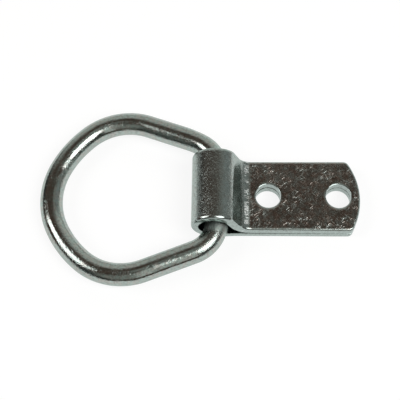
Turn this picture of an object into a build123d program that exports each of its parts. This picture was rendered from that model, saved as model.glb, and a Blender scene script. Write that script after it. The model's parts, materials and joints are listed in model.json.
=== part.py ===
from build123d import *
import os
from math import asin, cos, degrees, radians, sin, sqrt, tan

# Lashing ring: a round-bar D ring held in the rolled eye of a folded steel strap.
# Sizes are millimetres and angles are degrees. The underside of the strap lies on z = 0, +X runs
# from the ring to the strap's rounded end, and the origin is midway between the two bolt holes.

# Strap: one strip folded back on itself, so that every bolt passes two layers
strip_width = 26.0
strip_thickness = 3.0
gap_at_foot = 0.5           # between the layers, beside the eye
gap_at_tip = 0.2            # between the layers, at the rounded end
hole_diameter = 9.0         # for M8 bolts
hole_spacing = 24.8
hole_to_tip = 7.5           # from the outer hole's centre to the tip of the rounded end
tip_radius = 25.0           # the shallow arc of the rounded end, in plan
tip_corner_radius = 2.0
edge_rounding = 0.4         # the long edges, as punched and tumbled
hole_chamfer = 0.25

# Eye: the loop of the fold that holds the ring's bar
side_play = 1.0             # from the bar to the eye's arcs, with the bar in their middle
height_play = 4.0           # from the bar to the top of the eye, with the bar at the bottom
brow_angle = 50.0           # from the eye's top to the crease where the slope begins
brow_radius = 0.5           # inside that crease
slope_angle = 68.0          # the strip comes down from the eye this steeply
foot_radius = 2.0           # on top, where the slope meets the flat
foot_to_hole = 9.1          # from that corner, unrounded, to the inner hole's centre

# Ring: one bar bent to a D, wider towards the crown
bar_diameter = 8.0
bend_start = 2.5            # the bends begin this far inside the ends of the eye
corner_radius = 11.0        # radii are measured at the middle of the bar
leg_turn = 69.3             # from the straight in the eye to a leg
shoulder_radius = 21.7
shoulder_turn = 45.5
floor_clearance = 0.3       # under the bends as they sweep past the lower layer
slope_clearance = 0.35      # from the bends to the inside of the slope
crown_clearance = 4.9       # from the crown to the strap's tip, with the ring folded over the strap

# Places that follow from the sizes
half_width = strip_width / 2
half_thickness = strip_thickness / 2
bar_radius = bar_diameter / 2
hole_places = (-hole_spacing / 2, hole_spacing / 2)
tip_x = hole_places[1] + hole_to_tip
upper_z = strip_thickness + gap_at_foot + half_thickness
upper_tip_z = strip_thickness + gap_at_tip + half_thickness

brow = radians(brow_angle)
slope = radians(slope_angle)
fold_radius = bar_radius + side_play + half_thickness
brow_fold_radius = brow_radius + half_thickness
fold_centre_z = half_thickness + fold_radius
crest_centre_z = fold_centre_z + height_play - 2 * side_play
brow_centre_z = crest_centre_z + (fold_radius - brow_fold_radius) * cos(brow)
slope_top_z = brow_centre_z + brow_fold_radius * cos(slope)
foot_x = hole_places[0] - foot_to_hole - half_thickness * tan(slope / 2)
slope_top_x = foot_x - (slope_top_z - upper_z) / tan(slope)
brow_centre_x = slope_top_x - brow_fold_radius * sin(slope)
eye_x = brow_centre_x - (fold_radius - brow_fold_radius) * sin(brow)


def bar_axis():
    """Where the bar's straight lies: its bends turn freely past the lower layer and the slope."""
    straight = half_width - bend_start
    inner_bend = sqrt((corner_radius - bar_radius) ** 2 - bend_start ** 2)
    reach = corner_radius - inner_bend
    z = strip_thickness + reach + floor_clearance
    wall = slope_top_x * sin(slope) + slope_top_z * cos(slope) - half_thickness
    x = (wall - reach - slope_clearance - z * cos(slope)) / sin(slope)
    return x, z, straight


axis_x, axis_z, bar_half = bar_axis()


def strap_path():
    """The strip's middle line, side on: lower layer, eye, brow, slope, foot, upper layer."""
    beyond = tip_x + strip_thickness
    upper_slope = (upper_tip_z - upper_z) / (tip_x - foot_x)
    eye_left = eye_x - fold_radius
    lower = Line((beyond, half_thickness), (eye_x, half_thickness))
    under = CenterArc((eye_x, fold_centre_z), fold_radius, 270, -90)
    back = Line((eye_left, fold_centre_z), (eye_left, crest_centre_z))
    crest = CenterArc((eye_x, crest_centre_z), fold_radius, 180, -90 - brow_angle)
    brow_bend = CenterArc(
        (brow_centre_x, brow_centre_z), brow_fold_radius, 90 - brow_angle, brow_angle - slope_angle
    )
    descent = FilletPolyline(
        (slope_top_x, slope_top_z),
        (foot_x, upper_z),
        (beyond, upper_z + upper_slope * (beyond - foot_x)),
        radius=foot_radius + half_thickness,
    )
    bends = [lower.edge(), under.edge(), back.edge(), crest.edge(), brow_bend.edge()]
    return Plane.XZ * Wire(bends + descent.edges())


def strap_outline():
    """The strap from above: straight sides and a shallow arc at the tip."""
    corner_x = tip_x - tip_radius + sqrt(tip_radius ** 2 - half_width ** 2)
    far_x = eye_x - 2 * fold_radius
    sides = Polyline((corner_x, half_width), (far_x, half_width), (far_x, -half_width), (corner_x, -half_width))
    tip = ThreePointArc((corner_x, -half_width), (tip_x, 0), (corner_x, half_width))
    outline = make_face([sides, tip])
    return fillet(outline.vertices().sort_by(Axis.X)[-2:], tip_corner_radius)


def is_hole_rim(edge):
    """Whether an edge runs round one of the bolt holes."""
    middle = edge.center(CenterOf.BOUNDING_BOX)
    off_axis = min(abs(middle.X - x) for x in hole_places) + abs(middle.Y)
    return off_axis < hole_diameter / 4 and edge.geom_type != GeomType.LINE


def make_strap():
    """Bend the strip, trim its ends, round its edges and pierce both layers."""
    path = strap_path()
    section = Plane(origin=path @ 0, x_dir=(0, 1, 0), z_dir=path % 0) * Rectangle(strip_width, strip_thickness)
    bent = sweep(section, path)
    tall = crest_centre_z + 2 * fold_radius
    strap = bent & extrude(strap_outline(), tall)
    sides = [edge for edge in strap.edges().filter_by(Axis.Y, reverse=True) if not edge_is_upright(edge)]
    strap = fillet(sides, edge_rounding)
    for x in hole_places:
        strap -= Pos(x, 0, tall / 2) * Cylinder(hole_diameter / 2, tall)
    return chamfer(strap.edges().filter_by(is_hole_rim), hole_chamfer)


def edge_is_upright(edge):
    """Whether an edge stands straight up, as the seams round the tip do."""
    return edge.geom_type == GeomType.LINE and abs((edge % 0).Z) > 0.999


def ring_half():
    """Half of the bar's middle line, flat, from the middle of the straight to the top of the crown."""
    turn = radians(leg_turn)
    end_turn = radians(leg_turn + shoulder_turn)
    crown_share = (1 + cos(end_turn)) / sin(end_turn)
    crown_reach = tip_x - axis_x + crown_clearance + bar_radius
    bends_x = corner_radius * (1 - cos(turn)) + shoulder_radius * (cos(turn) - cos(end_turn))
    bends_y = bar_half + corner_radius * sin(turn) + shoulder_radius * (sin(end_turn) - sin(turn))
    leg = (crown_reach - bends_x - bends_y * crown_share) / (sin(turn) + cos(turn) * crown_share)
    crown_radius = (bends_y + leg * cos(turn)) / sin(end_turn)

    straight = Line((0, 0), (0, bar_half))
    corner = CenterArc((-corner_radius, bar_half), corner_radius, 0, leg_turn)
    leg_line = Line(corner @ 1, corner @ 1 + leg * (corner % 1))
    across = Vector(cos(turn), sin(turn))
    shoulder = CenterArc(leg_line @ 1 - shoulder_radius * across, shoulder_radius, leg_turn, shoulder_turn)
    crown = CenterArc(
        (crown_radius - crown_reach, 0), crown_radius, leg_turn + shoulder_turn, 180 - leg_turn - shoulder_turn
    )
    return [straight, corner, leg_line, shoulder, crown], crown_reach


def make_ring():
    """Bend the bar and lay the ring down, its crown on the surface that the strap lies on."""
    half, crown_reach = ring_half()
    path = Wire([piece.edge() for piece in half])
    half_ring = sweep(Plane(origin=path @ 0, z_dir=path % 0) * Circle(bar_radius), path)
    ring = half_ring + mirror(half_ring, Plane.XZ)
    droop = degrees(asin((axis_z - bar_radius) / crown_reach))
    return Pos(axis_x, 0, axis_z) * Rot(0, -droop, 0) * ring


os.makedirs("parts", exist_ok=True)
export_step(make_strap(), "parts/folded_strap.step")
export_step(make_ring(), "parts/ring.step")
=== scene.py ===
# Lashing ring, dressed for its picture: a round bar ring in the rolled eye of a folded steel strap.
# Lengths in the dictionaries are millimetres and angles are degrees; the scene itself is in metres.
import json
import math

import bpy
from mathutils import Euler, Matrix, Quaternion, Vector


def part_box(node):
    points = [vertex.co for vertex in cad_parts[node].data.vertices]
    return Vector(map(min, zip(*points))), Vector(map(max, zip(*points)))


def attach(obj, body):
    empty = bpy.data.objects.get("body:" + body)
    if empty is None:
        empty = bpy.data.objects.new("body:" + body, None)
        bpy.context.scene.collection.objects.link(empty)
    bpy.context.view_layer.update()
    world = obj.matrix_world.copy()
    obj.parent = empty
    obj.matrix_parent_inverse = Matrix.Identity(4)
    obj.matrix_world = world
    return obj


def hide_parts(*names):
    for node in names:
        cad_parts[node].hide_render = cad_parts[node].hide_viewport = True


mm = 0.001
weld = 0.002                  # millimetres: points closer together than this are one

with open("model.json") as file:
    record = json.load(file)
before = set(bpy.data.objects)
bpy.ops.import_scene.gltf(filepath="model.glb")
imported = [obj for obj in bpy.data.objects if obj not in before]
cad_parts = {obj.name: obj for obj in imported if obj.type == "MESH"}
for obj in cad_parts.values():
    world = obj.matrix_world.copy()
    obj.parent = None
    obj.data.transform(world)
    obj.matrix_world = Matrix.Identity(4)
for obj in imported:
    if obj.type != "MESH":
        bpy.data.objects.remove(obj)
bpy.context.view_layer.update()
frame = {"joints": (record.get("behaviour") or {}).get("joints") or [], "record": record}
strapLow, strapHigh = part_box("folded_strap")
ringLow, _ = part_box("ring")
hingeX, _, hingeZ = frame["joints"][0]["pos_m"]
boltHoles = frame["record"]["mounts"][0]["dims"]
print("frame loaded")


# Small helpers for modelling

def deselectAll():
    if bpy.context.object and bpy.context.object.mode == "EDIT":
        bpy.ops.object.mode_set(mode="OBJECT")
    bpy.ops.object.select_all(action="DESELECT")


def makeActive(piece):
    deselectAll()
    piece.select_set(True)
    bpy.context.view_layer.objects.active = piece


def startEdit(kind):
    bpy.ops.object.mode_set(mode="EDIT")
    bpy.ops.mesh.select_mode(type=kind)
    bpy.ops.mesh.select_all(action="DESELECT")


def startEditWithAll(kind):
    startEdit(kind)
    bpy.ops.mesh.select_all(action="SELECT")


def endEdit():
    bpy.ops.object.mode_set(mode="OBJECT")


def pickEdges(piece, test):
    # test takes an edge's two ends; edit mode stays on, with just those edges selected
    makeActive(piece)
    startEdit("EDGE")
    endEdit()
    points = piece.data.vertices
    for edge in piece.data.edges:
        edge.select = test(points[edge.vertices[0]].co, points[edge.vertices[1]].co)
    bpy.ops.object.mode_set(mode="EDIT")


def pickPoints(piece, test):
    makeActive(piece)
    startEdit("VERT")
    endEdit()
    for point in piece.data.vertices:
        point.select = test(point.co)
    bpy.ops.object.mode_set(mode="EDIT")


def roundEdges(piece, test, width, steps):
    pickEdges(piece, test)
    bpy.ops.mesh.bevel(offset=width * mm, segments=steps, affect="EDGES")
    endEdit()


def applyModifiers(piece):
    makeActive(piece)
    for modifier in list(piece.modifiers):
        bpy.ops.object.modifier_apply(modifier=modifier.name)


def tidyMesh(piece):
    makeActive(piece)
    startEditWithAll("VERT")
    bpy.ops.mesh.remove_doubles(threshold=weld * mm)
    bpy.ops.mesh.normals_make_consistent(inside=False)
    endEdit()


def pushPart(piece, way, depth, share):
    # share takes a point in millimetres and gives how much of the push it gets, from 0 to 1
    group = piece.vertex_groups.new(name="pushed")
    for point in piece.data.vertices:
        weight = share(point.co / mm)
        if weight > 0:
            group.add([point.index], weight, "REPLACE")
    push = piece.modifiers.new("push", "DISPLACE")
    push.vertex_group = group.name
    push.direction = way
    push.mid_level = 0
    push.strength = depth * mm
    applyModifiers(piece)
    piece.vertex_groups.clear()


def ease(value, low, high):
    part = min(1, max(0, (value - low) / (high - low)))
    return part * part * (3 - 2 * part)


# The ring

ringShape = {
    "barDiameter": 8.0,
    "straightHalf": 10.0,     # half of the straight that lies in the eye
    "corner": (12.0, 69.4),   # radius at the middle of the bar, and turn
    "shoulder": (21.8, 60.6),
    "cheek": (38.2, 23.8),    # flatter, between the shoulder and the crown
    "crownInset": 0.15,       # how far the crown stays inside the frame's box
    "askew": (-0.37, -0.7),   # the loose bar's shift along the eye, and its turn
    "tightened": 0.6,         # how much closer to the eye its far bend was pressed
    "tightBeside": (13, 18),  # which starts and is full this far beside the eye's middle
    "tightAlong": (-11, -3),  # and, along the strap, this far from the hinge
    "pointsAround": 64,
    "spinStep": 2.0,          # degrees of a bend in one step of the spin
    "straightStep": 1.2,
}


def ringBends():
    return [ringShape[bend] for bend in ("corner", "shoulder", "cheek")]


def ringLengths():
    # the leg's length and the crown's radius follow from how far the crown reaches
    along = hingeX - ringLow.x - ringShape["barDiameter"] / 2 * mm
    drop = hingeZ - ringShape["barDiameter"] / 2 * mm
    reach = math.hypot(along, drop) / mm - ringShape["crownInset"]
    bendsX, bendsY, heading = 0, ringShape["straightHalf"], 0
    for radius, turn in ringBends():
        after = heading + math.radians(turn)
        bendsX += radius * (math.cos(heading) - math.cos(after))
        bendsY += radius * (math.sin(after) - math.sin(heading))
        heading = after
    legTurn = math.radians(ringShape["corner"][1])
    crownShare = (1 + math.cos(heading)) / math.sin(heading)
    leg = (reach - bendsX - bendsY * crownShare) / (math.sin(legTurn) + math.cos(legTurn) * crownShare)
    crownRadius = (bendsY + leg * math.cos(legTurn)) / math.sin(heading)
    return leg, crownRadius, math.asin(drop / mm / reach)


def extrudeAlong(vector):
    steps = max(1, round(vector.length / ringShape["straightStep"]))
    part = tuple(vector * mm / steps)
    for _ in range(steps):
        bpy.ops.mesh.extrude_region_move(TRANSFORM_OT_translate={"value": part})


def spinBend(centre, turn):
    # the spin's angle is negative for an anticlockwise bend
    steps = max(2, round(turn / ringShape["spinStep"]))
    bpy.ops.mesh.spin(steps=steps, angle=-math.radians(turn), center=tuple(centre * mm), axis=(0, 0, 1))


def headingWay(heading):
    return Vector((math.cos(heading), math.sin(heading), 0))


def sweepHalfRing():
    # flat, from the middle of the straight to the middle of the crown
    leg, crownRadius, _ = ringLengths()
    deselectAll()
    bpy.ops.mesh.primitive_circle_add(
        vertices=ringShape["pointsAround"], radius=ringShape["barDiameter"] / 2 * mm,
        rotation=(math.pi / 2, 0, 0),
    )
    ring = bpy.context.object
    bpy.ops.object.transform_apply(rotation=True)
    startEditWithAll("EDGE")
    here, heading = Vector((0, ringShape["straightHalf"], 0)), 0
    extrudeAlong(here)
    crownTurn = 180 - sum(turn for _, turn in ringBends())
    for radius, turn in ringBends() + [(crownRadius, crownTurn)]:
        centre = here - headingWay(heading) * radius
        spinBend(centre, turn)
        heading += math.radians(turn)
        here = centre + headingWay(heading) * radius
        if (radius, turn) == ringShape["corner"]:
            straight = headingWay(heading + math.pi / 2) * leg
            extrudeAlong(straight)
            here += straight
    endEdit()
    return ring


def farBend(point):
    # 0 on the straight, the legs and the crown, 1 round the bend at the eye's far end
    beside = ease(point.y, *ringShape["tightBeside"])
    return beside * ease(point.x - hingeX / mm, *ringShape["tightAlong"])


def makeRing():
    ring = sweepHalfRing()
    ring.name = "bent_ring"
    mirror = ring.modifiers.new("otherHalf", "MIRROR")
    mirror.use_axis = (False, True, False)
    mirror.merge_threshold = weld * mm
    applyModifiers(ring)
    tidyMesh(ring)
    shift, turn = ringShape["askew"]
    _, _, droop = ringLengths()
    ring.rotation_euler = (0, 0, math.radians(turn))
    bpy.ops.object.transform_apply(rotation=True)
    ring.rotation_euler = (0, -droop, 0)
    ring.location = (hingeX, shift * mm, hingeZ)
    bpy.ops.object.transform_apply(location=True, rotation=True)
    pushPart(ring, "Y", -ringShape["tightened"], farBend)
    bpy.ops.object.shade_smooth()
    return ring


# The strap: a punched blank that is then folded along a line

strapShape = {
    "thickness": 3.0,
    "gapAtFoot": 0.55,        # between the two layers
    "gapAtTip": 0.1,
    "tipRadius": 25.0,
    "tipPoints": 256,         # round a whole circle of that radius
    "tipCorner": 2.0,
    "tipCornerSteps": 8,
    "tipBeyond": 0.16,        # the tip reaches this far past the frame's box
    "tipAside": 0.36,         # how far the tip's arc was punched off centre, to the near side
    "outerRounding": 0.85,    # the blanking press drew this face's edges in
    "outerSteps": 7,
    "innerRounding": 0.15,
    "innerSteps": 2,
    "foldRadius": 6.5,        # radii of the fold are measured at the strip's middle line
    "underRadius": 8.4,       # the fold from the lower layer up to the back of the eye
    "backInset": 0.13,        # how far the back of the eye stays inside the frame's box
    "browAngle": 50.0,
    "browRadius": 2.0,
    "slopeAngle": 68.0,
    "footRadius": 6.4,
    "footToHole": 8.95,
    "arcStep": 2.0,           # degrees between two points of the folding line
    "cutSpacing": 1.0,        # between the cuts across and along the blank, where it stays flat
    "holePoints": 72,
    "rimWidth": 1.2,          # round each hole the punch drew the outer face in
    "rimDepth": 0.22,
    "rimSteps": 9,
    "backRim": 0.15,
    "farSpread": 0.42,        # the rounded edges still reach as far as sharp ones would
    "tipSpread": 0.3,         # at the near side the tips are this much wider
    "tipSpreadEnd": -6,       # which goes this far before the eye's middle
    "eyeSpread": 0.35,        # bending squeezed the eye's near edge out this much
    "eyeSpreadRise": (-8, 2),     # which starts and is full here, from the eye's middle
    "slopeSkew": 0.17,        # the slope's far end lies this much nearer to the holes
    "skewRise": 1,            # that starts at the eye's middle and is full this far past the brow
    "skewFall": (2, 7),       # and goes between these two places past the foot
    "stretched": 0.55,        # how much thinner the strip is at the back of the eye
    "flared": 0.36,           # how much further out the eye's near end is than its far end
    "sharpAngle": 35,         # edges that turn more than this stay sharp
    "flatWeight": 80,         # how strongly large faces set the shading beside them
}


def strapPlaces():
    # where the fold's centres lie, from the frame's box and bolt holes
    shape = strapShape
    half = shape["thickness"] / 2
    brow, slope = math.radians(shape["browAngle"]), math.radians(shape["slopeAngle"])
    spacing = boltHoles["spacing_x_mm"]
    place = {
        "backX": strapLow.x / mm + half + shape["backInset"],
        "crestZ": strapHigh.z / mm - half - shape["foldRadius"],
        "foldZ": half + shape["underRadius"],
        "tipX": strapHigh.x / mm + shape["tipBeyond"],
        "upperZ": shape["thickness"] + shape["gapAtFoot"] + half,
        "upperTipZ": shape["thickness"] + shape["gapAtTip"] + half,
        "footX": -spacing / 2 - shape["footToHole"] - half * math.tan(slope / 2),
        "holes": (-spacing / 2, spacing / 2),
    }
    place["eyeX"] = place["backX"] + shape["foldRadius"]
    place["foldX"] = place["backX"] + shape["underRadius"]
    lift = shape["foldRadius"] - shape["browRadius"]
    place["browX"] = place["eyeX"] + lift * math.sin(brow)
    place["browZ"] = place["crestZ"] + lift * math.cos(brow)
    return place


def arcPoints(centreX, centreZ, radius, start, turn):
    steps = max(2, round(abs(turn) / strapShape["arcStep"]))
    angles = [math.radians(start + turn * i / steps) for i in range(steps + 1)]
    return [Vector((centreX + radius * math.cos(a), centreZ + radius * math.sin(a))) for a in angles]


def foldingLine():
    # the strip's middle line from the lower tip round the eye to the upper tip, as (x, z) points
    shape, place = strapShape, strapPlaces()
    half = shape["thickness"] / 2
    fold, brow, slope = shape["foldRadius"], shape["browAngle"], shape["slopeAngle"]
    points = [Vector((place["tipX"], half))]
    points += arcPoints(place["foldX"], place["foldZ"], shape["underRadius"], 270, -90)
    points += arcPoints(place["eyeX"], place["crestZ"], fold, 180, -90 - brow)
    points += arcPoints(place["browX"], place["browZ"], shape["browRadius"], 90 - brow, brow - slope)
    flat = math.degrees(math.atan2(place["upperTipZ"] - place["upperZ"], place["tipX"] - place["footX"]))
    bend = slope + flat
    upperWay = Vector((math.cos(math.radians(flat)), math.sin(math.radians(flat))))
    foot = Vector((place["footX"], place["upperZ"]))
    cut = shape["footRadius"] * math.tan(math.radians(bend / 2))
    normal = Vector((-upperWay.y, upperWay.x))
    centre = foot + upperWay * cut + normal * shape["footRadius"]
    points += arcPoints(centre.x, centre.y, shape["footRadius"], 270 - slope, bend)
    points.append(foot + upperWay * (place["tipX"] - place["footX"]))
    line = [points[0]]
    for point in points[1:]:
        if (point - line[-1]).length > weld:
            line.append(point)
    return line


def lineLength(line):
    return sum((b - a).length for a, b in zip(line, line[1:]))


def stripStations():
    # how far along the strip the eye's outer bend starts, its back and crest lie, and the foot is
    place = strapPlaces()
    start = place["tipX"] - place["foldX"]
    back = start + strapShape["underRadius"] * math.pi / 2
    crest = back + strapShape["foldRadius"] * math.pi / 2
    return start, back, crest, lineLength(foldingLine()) - (place["tipX"] - place["footX"])


def stripSides():
    # the far and the near side of the blank, as it stands with the near side up
    half = (strapHigh.y - strapLow.y) / mm / 2
    return -half - strapShape["farSpread"], half


def fromSide(point):
    # millimetres from the nearer of the blank's long sides
    far, near = stripSides()
    return min(point.z / mm - far, near - point.z / mm)


def cutOutline(length):
    # a disc pulled long and trimmed at both sides, so that its two ends keep the tips' arc
    radius, aside = strapShape["tipRadius"], strapShape["tipAside"]
    deselectAll()
    bpy.ops.mesh.primitive_circle_add(
        vertices=strapShape["tipPoints"], radius=radius * mm, fill_type="NGON",
        location=(radius * mm, 0, aside * mm), rotation=(math.pi / 2, 0, 0),
    )
    blank = bpy.context.object
    bpy.ops.object.transform_apply(location=True, rotation=True)
    pickEdges(blank, lambda a, b: min(a.x, b.x) > (radius - weld) * mm)
    bpy.ops.transform.translate(value=((length - 2 * radius) * mm, 0, 0))
    for side in stripSides():
        bpy.ops.mesh.select_all(action="SELECT")
        outwards = (0, 0, math.copysign(1, side))
        bpy.ops.mesh.bisect(plane_co=(0, 0, side * mm), plane_no=outwards, clear_outer=True)
    endEdit()
    return blank


def makeBlank(length):
    # the flat strip stands on its edge: length along X, thickness along Y, outer face to +Y
    shape = strapShape
    half = shape["thickness"] / 2
    blank = cutOutline(length)
    blank.name = "folded_strip"
    turn = math.asin(stripSides()[1] / shape["tipRadius"])
    corner = shape["tipCorner"] * math.tan((math.pi / 2 - turn) / 2)
    spare = 0.1  # the arc's own points would lie under the corner's rounding, or too close to it
    pickPoints(blank, lambda p: weld < fromSide(p) < corner + spare)
    bpy.ops.mesh.dissolve_verts()
    bpy.ops.mesh.select_all(action="SELECT")
    bpy.ops.transform.translate(value=(0, -half * mm, 0))
    bpy.ops.mesh.extrude_region_move(TRANSFORM_OT_translate={"value": (0, shape["thickness"] * mm, 0)})
    endEdit()
    tidyMesh(blank)
    face = (half - weld) * mm
    roundEdges(
        blank, lambda a, b: abs(a.y - b.y) > mm and fromSide(a) < weld, corner, shape["tipCornerSteps"]
    )
    roundEdges(blank, lambda a, b: min(a.y, b.y) > face, shape["outerRounding"], shape["outerSteps"])
    roundEdges(blank, lambda a, b: max(a.y, b.y) < -face, shape["innerRounding"], shape["innerSteps"])
    tidyMesh(blank)
    return blank


def punchProfile():
    # radius and height of the punch, which opens in a flare where it draws the outer face in
    shape = strapShape
    radius, half = boltHoles["hole_r_mm"], shape["thickness"] / 2
    beyond = 0.5  # it stands out this far past both faces
    profile = [(radius + shape["backRim"] + beyond, -half - beyond), (radius, -half + shape["backRim"])]
    for i in range(shape["rimSteps"] + 1):
        a = math.pi / 2 * i / shape["rimSteps"]
        out = shape["rimWidth"] * (1 - math.cos(a))
        profile.append((radius + out, half - shape["rimDepth"] * (1 - math.sin(a))))
    slant = 0.02  # its last stretch still opens a little
    profile.append((radius + shape["rimWidth"] + slant, half + beyond))
    return profile


def makePunch(x):
    # it stands along Y, with the flare towards +Y, as the blank's outer face does
    profile = punchProfile()
    deselectAll()
    bpy.ops.mesh.primitive_circle_add(
        vertices=strapShape["holePoints"], radius=profile[0][0] * mm, fill_type="NGON",
        location=(0, profile[0][1] * mm, 0), rotation=(math.pi / 2, 0, 0),
    )
    punch = bpy.context.object
    bpy.ops.object.transform_apply(location=True, rotation=True)
    startEditWithAll("EDGE")
    for (ra, ya), (rb, yb) in zip(profile, profile[1:]):
        bpy.ops.mesh.extrude_region_move(TRANSFORM_OT_translate={"value": (0, (yb - ya) * mm, 0)})
        bpy.ops.transform.resize(value=(rb / ra, 1, rb / ra))
    endEdit()
    tidyMesh(punch)
    punch.location = (x * mm, 0, 0)
    bpy.ops.object.transform_apply(location=True)
    return punch


def punchHoles(blank, length):
    place = strapPlaces()
    toTip = [place["tipX"] - x for x in place["holes"]]
    punches = [makePunch(s) for s in toTip] + [makePunch(length - s) for s in toTip]
    for punch in punches:
        hole = blank.modifiers.new("boltHole", "BOOLEAN")
        hole.operation = "DIFFERENCE"
        hole.object = punch
    applyModifiers(blank)
    for punch in punches:
        bpy.data.objects.remove(punch, do_unlink=True)


def cutAt(distance, normal):
    bpy.ops.mesh.select_all(action="SELECT")
    bpy.ops.mesh.bisect(plane_co=[part * distance * mm for part in normal], plane_no=normal)


def cutStations(blank, line):
    # cuts across wherever the line bends and at even steps where it is flat, and then cuts along
    spacing = strapShape["cutSpacing"]
    stations, here = [], 0.0
    for a, b in zip(line, line[1:]):
        part = (b - a).length
        count = max(1, int(part / spacing))
        stations += [here + part * i / count for i in range(count)]
        here += part
    makeActive(blank)
    startEdit("FACE")
    for station in stations[1:]:
        cutAt(station, (1, 0, 0))
    reach = round(stripSides()[1] / spacing) - 1
    for i in range(-reach, reach + 1):
        cutAt(i * spacing, (0, 0, 1))
    endEdit()


def keepFlatPlace(blank):
    # the finish follows the strip, so each point remembers where it lay before the fold
    flat = blank.data.attributes.new("flatPlace", "FLOAT_VECTOR", "POINT")
    for point, kept in zip(blank.data.vertices, flat.data):
        kept.vector = point.co


def workEye(blank, length):
    # bending thins the strip and squeezes its edge out, and the eye opens a little towards its near end
    shape, place = strapShape, strapPlaces()
    thickness = shape["thickness"]
    far, near = stripSides()
    start, _, crest, _ = stripStations()
    end = crest + math.radians(shape["browAngle"]) * shape["foldRadius"] + shape["browRadius"]
    eyeMiddle = place["tipX"] - place["eyeX"]
    squeezed = [eyeMiddle + x for x in shape["eyeSpreadRise"]]

    def eyeShare(p):
        # 0 at both ends of the eye's outer bend, 1 at its back
        part = (p.x - start) / (end - start)
        return math.sin(math.pi * part) ** 2 if 0 < part < 1 else 0

    def across(p):
        return (p.z - far) / (near - far)

    def fromTip(p):
        return min(p.x, length - p.x)

    def tipShare(p):
        return across(p) ** 2 * (1 - ease(fromTip(p), 0, eyeMiddle + shape["tipSpreadEnd"]))

    def squeezeShare(p):
        return across(p) ** 2 * ease(fromTip(p), *squeezed)

    pushPart(blank, "Y", shape["stretched"], lambda p: eyeShare(p) * (0.5 - p.y / thickness))
    pushPart(blank, "Y", shape["flared"], lambda p: eyeShare(p) * across(p))
    pushPart(blank, "Z", shape["tipSpread"], tipShare)
    pushPart(blank, "Z", shape["eyeSpread"], squeezeShare)


def skewSlope(strap):
    # only the upper layer, from the eye's top to just past the foot
    shape, place = strapShape, strapPlaces()
    betweenLayers = shape["thickness"] + shape["gapAtFoot"] / 2
    half = (strapHigh.y - strapLow.y) / mm / 2
    rise = (place["eyeX"], place["browX"] + shape["skewRise"])
    fall = [place["footX"] + x for x in shape["skewFall"]]

    def share(p, aside):
        onSlope = ease(p.x, *rise) * (1 - ease(p.x, *fall))
        return onSlope * max(0, aside / half) if p.z > betweenLayers else 0

    pushPart(strap, "X", shape["slopeSkew"], lambda p: share(p, p.y))
    pushPart(strap, "X", -shape["slopeSkew"], lambda p: share(p, -p.y))


def foldStrip(blank, line):
    curve = bpy.data.curves.new("foldingLine", "CURVE")
    curve.dimensions = "2D"
    spline = curve.splines.new("POLY")
    spline.points.add(len(line) - 1)
    for point, place in zip(spline.points, line):
        point.co = (place.x * mm, place.y * mm, 0, 1)
    guide = bpy.data.objects.new("foldingLine", curve)
    bpy.context.collection.objects.link(guide)
    fold = blank.modifiers.new("fold", "CURVE")
    fold.object = guide
    fold.deform_axis = "POS_X"
    applyModifiers(blank)
    bpy.data.objects.remove(guide, do_unlink=True)
    blank.rotation_euler = (math.pi / 2, 0, 0)
    bpy.ops.object.transform_apply(rotation=True)


def smoothStrap(strap):
    makeActive(strap)
    bpy.ops.object.shade_smooth_by_angle(angle=math.radians(strapShape["sharpAngle"]))
    flats = strap.modifiers.new("flatsStayFlat", "WEIGHTED_NORMAL")
    flats.keep_sharp = True
    flats.weight = strapShape["flatWeight"]
    applyModifiers(strap)


def makeStrap():
    line = foldingLine()
    length = lineLength(line)
    strap = makeBlank(length)
    punchHoles(strap, length)
    cutStations(strap, line)
    keepFlatPlace(strap)
    workEye(strap, length)
    foldStrip(strap, line)
    skewSlope(strap)
    tidyMesh(strap)
    smoothStrap(strap)
    return strap


ring = makeRing()
print("ring modelled,", len(ring.data.polygons), "faces")
strap = makeStrap()
print("strap modelled,", len(strap.data.polygons), "faces")


# Finishes: bright zinc plating over rolled strip and drawn bar, with the marks of the tumbling drum

stripFinish = {
    "coolColour": (0.375, 0.435, 0.415),
    "warmColour": (0.385, 0.34, 0.30),
    "stainColour": (0.22, 0.225, 0.21),
    "rubbedColour": (0.88, 0.90, 0.89),  # of the press's marks beside the foot
    "warmth": (0.2, 1.0),     # least and most share of the warm colour on the flat outer faces, where it is a painted reflection of the dim warm room over random warm blotches
    "stain": 0.6,             # most share of the stain's colour
    "edgeTint": (0.82, 0.87, 0.85),
    "roughness": (0.08, 0.28),
    "waveSize": 6.0,
    "waveDepth": 0.02,
    "grainSize": 0.5,
    "grainDepth": 0.075,
    "leastGrain": 0.6,        # share of the grain left in the smoothest patches
    "ironed": 0.75,           # how much of it bending pressed out of the eye's back
    "skinAtHole": 0.15,       # share of the rolled skin left at a hole's rim
    "warmthUnderEye": 0.25,   # share of the warm colour left on the lower layer past the eye
    "scuffLength": 1.1,
    "scuffWidth": 0.16,
    "scuffSpacing": 0.45,
    "scuffAngles": (38, -46, 68),
    "scuffRoughness": 0.19,
    "scuffDepth": 0.04,
    "bentGrainDepth": 0.12,   # the stretched skin of the eye
    "bentGrain": (1, 1, 3),   # stretched across the strip
    "bentStain": 0.55,
    "bentRoughness": 0.0,
    "pressRoughness": 0.4,    # of the marks beside the foot
    "pressDepth": 0.10,
    "pressStretch": 6,        # how much longer than wide they are
}

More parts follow.
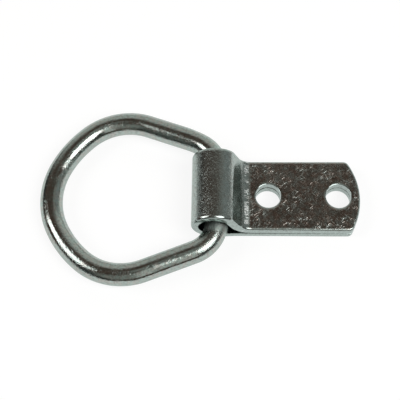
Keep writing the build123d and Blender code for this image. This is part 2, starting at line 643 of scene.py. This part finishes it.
barFinish = {
    "coolColour": (0.385, 0.455, 0.425),
    "warmColour": (0.42, 0.415, 0.385),
    "stainColour": (0.21, 0.225, 0.21),
    "warmth": (0.0, 0.8),
    "stain": 0.5,
    "edgeTint": (0.82, 0.87, 0.85),
    "roughness": (0.07, 0.22),
    "waveSize": 5.0,
    "waveDepth": 0.02,
    "grainSize": 0.45,
    "grainDepth": 0.075,
    "leastGrain": 0.3,
    "scuffLength": 1.2,
    "scuffWidth": 0.15,
    "scuffSpacing": 0.6,
    "scuffAngles": (35, -60),
    "scuffRoughness": 0.10,
    "scuffDepth": 0.02,
    "bentGrainDepth": 0.09,   # where the bar rubs in the eye
    "bentGrain": (1, 2.5, 1),
    "bentStain": 0.2,
    "bentRoughness": 0.4,
}

# Patterns of both finishes: the noise's size, detail and roughness, and the levels it comes in between
patterns = {
    "grainPatches": (7.0, 1.0, 0.5, 0.42, 0.58),
    "scuffPatches": (4.0, 2.0, 0.5, 0.36, 0.62),
    "dullSpecks": (0.55, 3.0, 0.65, 0.44, 0.68),
    "warmBlotches": (1.8, 3.0, 0.65, 0.40, 0.62),
    "stainSpecks": (0.8, 4.0, 0.7, 0.48, 0.62),
    "pressDashes": (0.65, 2.0, 0.7, 0.47, 0.57),
    "pressGroups": (3.0, 1.0, 0.5, 0.40, 0.54),
}

# Marks of both finishes
marks = {
    "crackleSize": 0.36,      # of the grain where the metal is bent or rubbed
    "crackleFlecks": (0.46, 0.60),  # the levels of it between which its stain comes in
    "scuffEdge": (0.3, 1.1),  # shares of a scuff's width: whole inside the first, gone past the second
    "leastScuffs": 0.15,      # share of the scuffs left between their patches
}

# Where the finishes change: the two places, in millimetres, between which a mark comes or goes
finishPlaces = {
    "skinBelow": (0.5, 0.05),     # the rolled skin starts and is full this deep under the outer face
    "skinFromSide": (0.5, 1.2),
    "skinFromHole": (0.2, 1.3),
    "flatBelow": (0.08, 0.02),    # the same, for the warm colour of the flat faces, a painted reflection of the dim warm room
    "flatToEye": (-1, 4),         # it goes where the eye's bend starts
    "flatFromFoot": (1, 4),       # and comes again past the foot
    "ironed": (0, 2, 3, 5),       # comes from where the eye's bend starts, goes past the eye's back
    "eyeGrain": (3.5, 5, 1, 7),   # comes past the eye's back, goes past its crest
    "press": (0.2, 0.8, 1.9, 3.2),    # comes and goes past the foot
    "barBeside": (13, 17),        # the rubbed part of the bar ends this far beside the eye's middle
    "barAlong": (-9, -4),         # and, along the strap, starts this far from the hinge
}


def addNode(tree, kind, **values):
    # a value is another node's socket, a socket's number or colour, or a setting of the node
    node = tree.nodes.new("ShaderNode" + kind)
    for name, value in values.items():
        if not hasattr(node, name):
            plug(tree, node.inputs[name.replace("_", " ")], value)
        else:
            setattr(node, name, value)
    return node


def plug(tree, socket, value):
    if isinstance(value, bpy.types.NodeSocket):
        tree.links.new(value, socket)
    else:
        socket.default_value = value


def noise(tree, place, size, detail=2.0, roughness=0.5):
    scale = 1 / (size * mm)
    node = addNode(tree, "TexNoise", Vector=place, Scale=scale, Detail=detail, Roughness=roughness)
    return node.outputs["Fac"]


def softStep(tree, value, low, high, start=0.0, end=1.0):
    node = addNode(
        tree, "MapRange", interpolation_type="SMOOTHSTEP", Value=value,
        From_Min=low, From_Max=high, To_Min=start, To_Max=end,
    )
    return node.outputs["Result"]


def pattern(tree, place, name, least=0.0, most=1.0):
    size, detail, roughness, low, high = patterns[name]
    return softStep(tree, noise(tree, place, size, detail, roughness), low, high, least, most)


def calculate(tree, operation, first, second=0.0):
    node = addNode(tree, "Math", operation=operation)
    plug(tree, node.inputs[0], first)
    plug(tree, node.inputs[1], second)
    return node.outputs[0]


def product(tree, *shares):
    found = shares[0]
    for share in shares[1:]:
        found = calculate(tree, "MULTIPLY", found, share)
    return found


def without(tree, share):
    return calculate(tree, "SUBTRACT", 1.0, share)


def stretched(tree, place, scale, rotation=(0, 0, 0)):
    node = addNode(tree, "Mapping", vector_type="TEXTURE", Vector=place, Rotation=rotation, Scale=scale)
    return node.outputs[0]


def mixColours(tree, share, first, second):
    node = addNode(tree, "Mix", data_type="RGBA")
    for socket, value in ((0, share), (6, first), (7, second)):
        plug(tree, node.inputs[socket], value)
    return node.outputs[2]


def bump(tree, height, depth, normal=None):
    node = addNode(tree, "Bump", Height=height, Distance=depth * mm)
    if normal:
        plug(tree, node.inputs["Normal"], normal)
    return node.outputs["Normal"]


def opaque(colour):
    return (*colour, 1)


def scuffs(tree, place, axis, finish):
    # short strokes at a few angles, each a long thin cell of its own
    along = finish["scuffLength"] / finish["scuffWidth"]
    solid, gone = (share * finish["scuffWidth"] / finish["scuffSpacing"] for share in marks["scuffEdge"])
    found = None
    for degrees in finish["scuffAngles"]:
        laid = stretched(tree, place, (along, 1, 1), Vector(axis) * math.radians(degrees))
        cells = addNode(tree, "TexVoronoi", Vector=laid, Scale=1 / (finish["scuffSpacing"] * mm))
        stroke = softStep(tree, cells.outputs["Distance"], solid, gone, 1.0, 0.0)
        found = calculate(tree, "MAXIMUM", found, stroke) if found else stroke
    return product(tree, found, pattern(tree, place, "scuffPatches", marks["leastScuffs"]))


def zincPlating(name, finish, axis, readPlace, bentMask, skinMask=None, paintedReflectionMask=None, pressMask=None):
    # each mask builds a share, from 0 to 1, of where its mark shows; axis is what the scuffs turn about
    material = bpy.data.materials.new(name)
    material.use_nodes = True
    tree = material.node_tree
    shader = tree.nodes["Principled BSDF"]
    place = readPlace(tree)
    bent = bentMask(tree, place)
    worn = product(tree, scuffs(tree, place, axis, finish), without(tree, bent))
    patches = pattern(tree, place, "grainPatches", finish["leastGrain"])
    grain = product(tree, noise(tree, place, finish["grainSize"], 2.0, 0.6), patches)
    drawn = stretched(tree, place, finish["bentGrain"])
    crackle = product(tree, noise(tree, drawn, marks["crackleSize"], 3.0, 0.7), bent)
    if skinMask:
        skin = skinMask(tree, place)
        worn, grain, crackle = (product(tree, mark, skin) for mark in (worn, grain, crackle))

    normal = bump(tree, noise(tree, place, finish["waveSize"], 1.0), finish["waveDepth"])
    normal = bump(tree, grain, finish["grainDepth"], normal)
    normal = bump(tree, worn, -finish["scuffDepth"], normal)
    normal = bump(tree, crackle, finish["bentGrainDepth"], normal)

    roughness = pattern(tree, place, "dullSpecks", *finish["roughness"])
    roughness = calculate(tree, "ADD", roughness, product(tree, bent, finish["bentRoughness"]))
    worn = product(tree, worn, finish["scuffRoughness"])

    warmth = pattern(tree, place, "warmBlotches", *finish["warmth"])
    # the strip's warm tint is kept to its flat outer faces: a painted reflection of the dim warm room,
    # over random warm blotches
    if paintedReflectionMask:
        warmth = product(tree, warmth, paintedReflectionMask(tree, place))
    colour = mixColours(tree, warmth, opaque(finish["coolColour"]), opaque(finish["warmColour"]))
    stain = pattern(tree, place, "stainSpecks", 0.0, finish["stain"])
    flecks = product(tree, softStep(tree, crackle, *marks["crackleFlecks"]), finish["bentStain"])
    stain = calculate(tree, "MAXIMUM", stain, flecks)
    colour = mixColours(tree, stain, colour, opaque(finish["stainColour"]))

    if pressMask:
        pressed = pressMask(tree, place)
        normal = bump(tree, pressed, finish["pressDepth"], normal)
        worn = calculate(tree, "MAXIMUM", worn, product(tree, pressed, finish["pressRoughness"]))
        colour = mixColours(tree, pressed, colour, opaque(finish["rubbedColour"]))
    shader.inputs["Metallic"].default_value = 1
    shader.inputs["Specular Tint"].default_value = opaque(finish["edgeTint"])
    plug(tree, shader.inputs["Base Color"], colour)
    plug(tree, shader.inputs["Roughness"], calculate(tree, "ADD", roughness, worn))
    plug(tree, shader.inputs["Normal"], normal)
    return material


def flatPlace(tree):
    return addNode(tree, "Attribute", attribute_name="flatPlace").outputs["Vector"]


def objectPlace(tree):
    return addNode(tree, "TexCoord").outputs["Object"]


def parted(tree, place):
    return addNode(tree, "SeparateXYZ", Vector=place).outputs


def between(tree, value, place, stops, start=0.0, end=1.0):
    # a soft step whose two stops are millimetres past a place
    low, high = ((place + stop) * mm for stop in stops)
    return softStep(tree, value, low, high, start, end)


def alongStrip(tree, place, first, second, stops):
    # comes in between two stops past the first place, and goes between two stops past the second
    x = parted(tree, place)[0]
    return product(tree, between(tree, x, first, stops[:2]), between(tree, x, second, stops[2:], 1.0, 0.0))


def underFace(tree, place, depths):
    # 0 deeper under the strip's outer face than the first depth, 1 from the second one up
    half = strapShape["thickness"] / 2
    return between(tree, parted(tree, place)[1], half, [-depth for depth in depths])


def skinFace(tree, place):
    # the rolled outer skin: the punched walls, rounded edges and rims of the holes are smoother
    places = finishPlaces
    far, near = stripSides()
    aside = calculate(tree, "SUBTRACT", parted(tree, place)[2], (far + near) / 2 * mm)
    aside = calculate(tree, "ABSOLUTE", aside)
    toEdge = [-gap for gap in reversed(places["skinFromSide"])]
    skin = underFace(tree, place, places["skinBelow"])
    skin = product(tree, skin, between(tree, aside, (near - far) / 2, toEdge, 1.0, 0.0))
    upperTip = lineLength(foldingLine()) - strapPlaces()["tipX"]
    rim, least = boltHoles["hole_r_mm"], stripFinish["skinAtHole"]
    for x in strapPlaces()["holes"]:
        away = addNode(tree, "VectorMath", operation="DISTANCE")
        plug(tree, away.inputs[0], place)
        plug(tree, away.inputs[1], ((upperTip + x) * mm, strapShape["thickness"] / 2 * mm, 0))
        clear = between(tree, away.outputs["Value"], rim, places["skinFromHole"], least)
        skin = product(tree, skin, clear)
    start, back, _, _ = stripStations()
    ironed = alongStrip(tree, place, start, back, places["ironed"])
    return product(tree, skin, without(tree, product(tree, ironed, stripFinish["ironed"])))


def paintedReflectionFaces(tree, place):
    # the rolled outer face where the strip lies flat: not its edges, and not the eye or the slope. The
    # warm tint kept to it is a painted reflection of the dim warm room.
    x = parted(tree, place)[0]
    start, _, _, foot = stripStations()
    lower = between(tree, x, start, finishPlaces["flatToEye"], 1.0, stripFinish["warmthUnderEye"])
    upper = between(tree, x, foot, finishPlaces["flatFromFoot"])
    face = underFace(tree, place, finishPlaces["flatBelow"])
    return product(tree, face, calculate(tree, "MAXIMUM", lower, upper))


def eyeMask(tree, place):
    _, back, crest, _ = stripStations()
    return alongStrip(tree, place, back, crest, finishPlaces["eyeGrain"])


def footMask(tree, place):
    # marks side by side, each along the strip
    foot = stripStations()[3]
    laid = stretched(tree, place, (stripFinish["pressStretch"], 1, 1))
    dashes = product(tree, pattern(tree, laid, "pressDashes"), pattern(tree, laid, "pressGroups"))
    return product(tree, dashes, alongStrip(tree, place, foot, foot, finishPlaces["press"]))


def barCorner(tree, place):
    # inside the eye and where each bend leaves it
    x, y, _ = parted(tree, place)
    beside = between(tree, calculate(tree, "ABSOLUTE", y), 0, finishPlaces["barBeside"], 1.0, 0.0)
    return product(tree, beside, between(tree, x, hingeX / mm, finishPlaces["barAlong"]))


stripZinc = zincPlating(
    "stripZinc", stripFinish, (0, 1, 0), flatPlace, eyeMask,
    skinMask=skinFace, paintedReflectionMask=paintedReflectionFaces, pressMask=footMask,
)
barZinc = zincPlating("barZinc", barFinish, (0, 0, 1), objectPlace, barCorner)
print("finishes mixed")

for piece, body, node, slot, finish in (
    (strap, "strap_body", "folded_strap", "strap_zinc", stripZinc),
    (ring, "ring_body", "ring", "bar_zinc", barZinc),
):
    piece.data.materials.clear()
    piece.data.materials.append(finish)
    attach(piece, body)
    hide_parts(node)


# Camera, as the picture was taken

cameraPlace = {
    "azimuth": 2.4,
    "elevation": 66.62,
    "roll": -2.38,
    "distance": 353.6,
    "target": (-36.58, 1.19, 0.0),
    "lens": 88.43,
    "sensor": 36.0,
    "clipStart": 10.0,
}


def placeCamera():
    azimuth, elevation = math.radians(cameraPlace["azimuth"]), math.radians(cameraPlace["elevation"])
    turn = Euler((math.pi / 2 - elevation, 0, azimuth)).to_quaternion()
    turn = turn @ Quaternion((0, 0, 1), math.radians(cameraPlace["roll"]))
    away = turn @ Vector((0, 0, cameraPlace["distance"] * mm))
    deselectAll()
    bpy.ops.object.camera_add(location=Vector(cameraPlace["target"]) * mm + away, rotation=turn.to_euler())
    camera = bpy.context.object
    camera.data.lens = cameraPlace["lens"]
    camera.data.sensor_width = cameraPlace["sensor"]
    camera.data.clip_start = cameraPlace["clipStart"] * mm
    bpy.context.scene.camera = camera


placeCamera()
print("camera placed")


# Studio: a white floor, two soft boxes, and a graded tent that the camera can't see

studio = {                    # lengths here are metres
    "tentRadius": 1.6,
    "tentBase": (0.094, 0.070, 0.057),
    "tentFoot": -0.002,       # the tent's edge is cut just under the floor
    "floorSize": 3.84,
    "floorGlow": 0.84,
    "floorPaint": 0.22,
    "boxDistance": 1.0,
    "boxesAimAt": (-0.037, 0, 0),
}

softBoxes = {
    "leftSoftBox": {
        "azimuth": 183,
        "zenith": 47.5,
        "size": (0.50, 0.50),
        "turn": 6,
        "shape": "RECTANGLE",
        "radiance": 3.6,
    },
    "rightSoftBox": {
        "azimuth": -33,
        "zenith": 35,
        "size": (0.58, 0.70),
        "turn": 7,
        "shape": "ELLIPSE",
        "radiance": 3.6,
    },
}

# Zones of the tent: azimuth, angle from the zenith, how far out each is full and ends, and its light
tentZones = [
    (90, 85, 38, 60, (0.60, 0.60, 0.575)),
    (52, 76, 10, 32, (0.70, 0.74, 0.70)),
    (150, 84, 9, 26, (0.05, 0.055, 0.055)),
    (222, 72, 16, 34, (0.060, 0.065, 0.062)),
    (254, 52, 14, 32, (0.30, 0.31, 0.29)),
    (232, 84, 6, 20, (0.05, 0.055, 0.052)),
    (308, 68, 12, 22, (0.07, 0.075, 0.072)),
    (335, 70, 12, 24, (0.10, 0.105, 0.10)),
    (8, 62, 16, 34, (0.25, 0.26, 0.25)),
    (28, 64, 14, 26, (0.295, 0.315, 0.31)),
    (41, 40, 7, 15, (0.28, 0.285, 0.265)),
    (0, 0, 6, 20, (0.30, 0.31, 0.29)),
    (284, 62, 6, 13, (0.70, 0.71, 0.68)),
    (284, 44, 6, 13, (0.70, 0.71, 0.68)),
    (284, 26, 6, 13, (0.62, 0.63, 0.60)),
]


def skyWay(azimuth, zenith):
    a, z = math.radians(azimuth), math.radians(zenith)
    return Vector((math.sin(z) * math.cos(a), math.sin(z) * math.sin(a), math.cos(z)))


def emptyMaterial(name):
    material = bpy.data.materials.new(name)
    material.use_nodes = True
    material.node_tree.nodes.clear()
    return material


def tentPaint():
    material = emptyMaterial("tentPaint")
    tree = material.node_tree
    way = addNode(tree, "VectorMath", operation="NORMALIZE")
    plug(tree, way.inputs[0], objectPlace(tree))
    light = opaque(studio["tentBase"])
    for azimuth, zenith, full, end, colour in tentZones:
        dot = addNode(tree, "VectorMath", operation="DOT_PRODUCT")
        plug(tree, dot.inputs[0], way.outputs[0])
        plug(tree, dot.inputs[1], skyWay(azimuth, zenith))
        angle = calculate(tree, "ARCCOSINE", dot.outputs["Value"])
        share = softStep(tree, angle, math.radians(full), math.radians(end), 1.0, 0.0)
        light = mixColours(tree, share, light, opaque(colour))
    glow = addNode(tree, "Emission", Color=light)
    addNode(tree, "OutputMaterial", Surface=glow.outputs[0])
    return material


def makeTent():
    deselectAll()
    bpy.ops.mesh.primitive_uv_sphere_add(segments=64, ring_count=32, radius=studio["tentRadius"])
    tent = bpy.context.object
    tent.name = "lightTent"
    startEditWithAll("FACE")
    bpy.ops.mesh.bisect(plane_co=(0, 0, studio["tentFoot"]), plane_no=(0, 0, -1), clear_outer=True)
    bpy.ops.mesh.select_all(action="SELECT")
    bpy.ops.mesh.flip_normals()
    endEdit()
    tent.data.materials.append(tentPaint())
    tent.visible_camera = False


def softBox(name, box):
    way = skyWay(box["azimuth"], box["zenith"])
    turn = way.to_track_quat("Z", "Y") @ Quaternion((0, 0, 1), math.radians(box["turn"]))
    place = way * studio["boxDistance"] + Vector(studio["boxesAimAt"])
    deselectAll()
    bpy.ops.object.light_add(type="AREA", location=place, rotation=turn.to_euler())
    lamp = bpy.context.object
    lamp.name = name
    lamp.data.shape = box["shape"]
    lamp.data.size, lamp.data.size_y = box["size"]
    lamp.data.energy = box["radiance"] * math.pi * box["size"][0] * box["size"][1]


def floorPaint():
    # it glows for the camera and in reflections, but lights other things only as dim paint does
    material = emptyMaterial("floorPaint")
    tree = material.node_tree
    paint = addNode(tree, "BsdfDiffuse", Color=opaque((studio["floorPaint"],) * 3))
    ray = addNode(tree, "LightPath").outputs
    seen = calculate(tree, "MAXIMUM", ray["Is Camera Ray"], ray["Is Glossy Ray"])
    seen = calculate(tree, "MAXIMUM", seen, ray["Is Transmission Ray"])
    glow = addNode(tree, "Emission", Strength=product(tree, seen, studio["floorGlow"]))
    both = addNode(tree, "AddShader")
    plug(tree, both.inputs[0], paint.outputs[0])
    plug(tree, both.inputs[1], glow.outputs[0])
    addNode(tree, "OutputMaterial", Surface=both.outputs[0])
    return material


def makeFloor():
    deselectAll()
    bpy.ops.mesh.primitive_plane_add(size=studio["floorSize"])
    floor = bpy.context.object
    floor.name = "floor"
    floor.data.materials.append(floorPaint())


def paintWorld():
    world = bpy.context.scene.world or bpy.data.worlds.new("studioWorld")
    bpy.context.scene.world = world
    world.use_nodes = True
    backdrop = world.node_tree.nodes["Background"]
    backdrop.inputs["Color"].default_value = (1, 1, 1, 1)
    backdrop.inputs["Strength"].default_value = 1


paintWorld()
makeTent()
makeFloor()
for name, box in softBoxes.items():
    softBox(name, box)
print("studio set")

bpy.context.scene.view_settings.view_transform = "Standard"
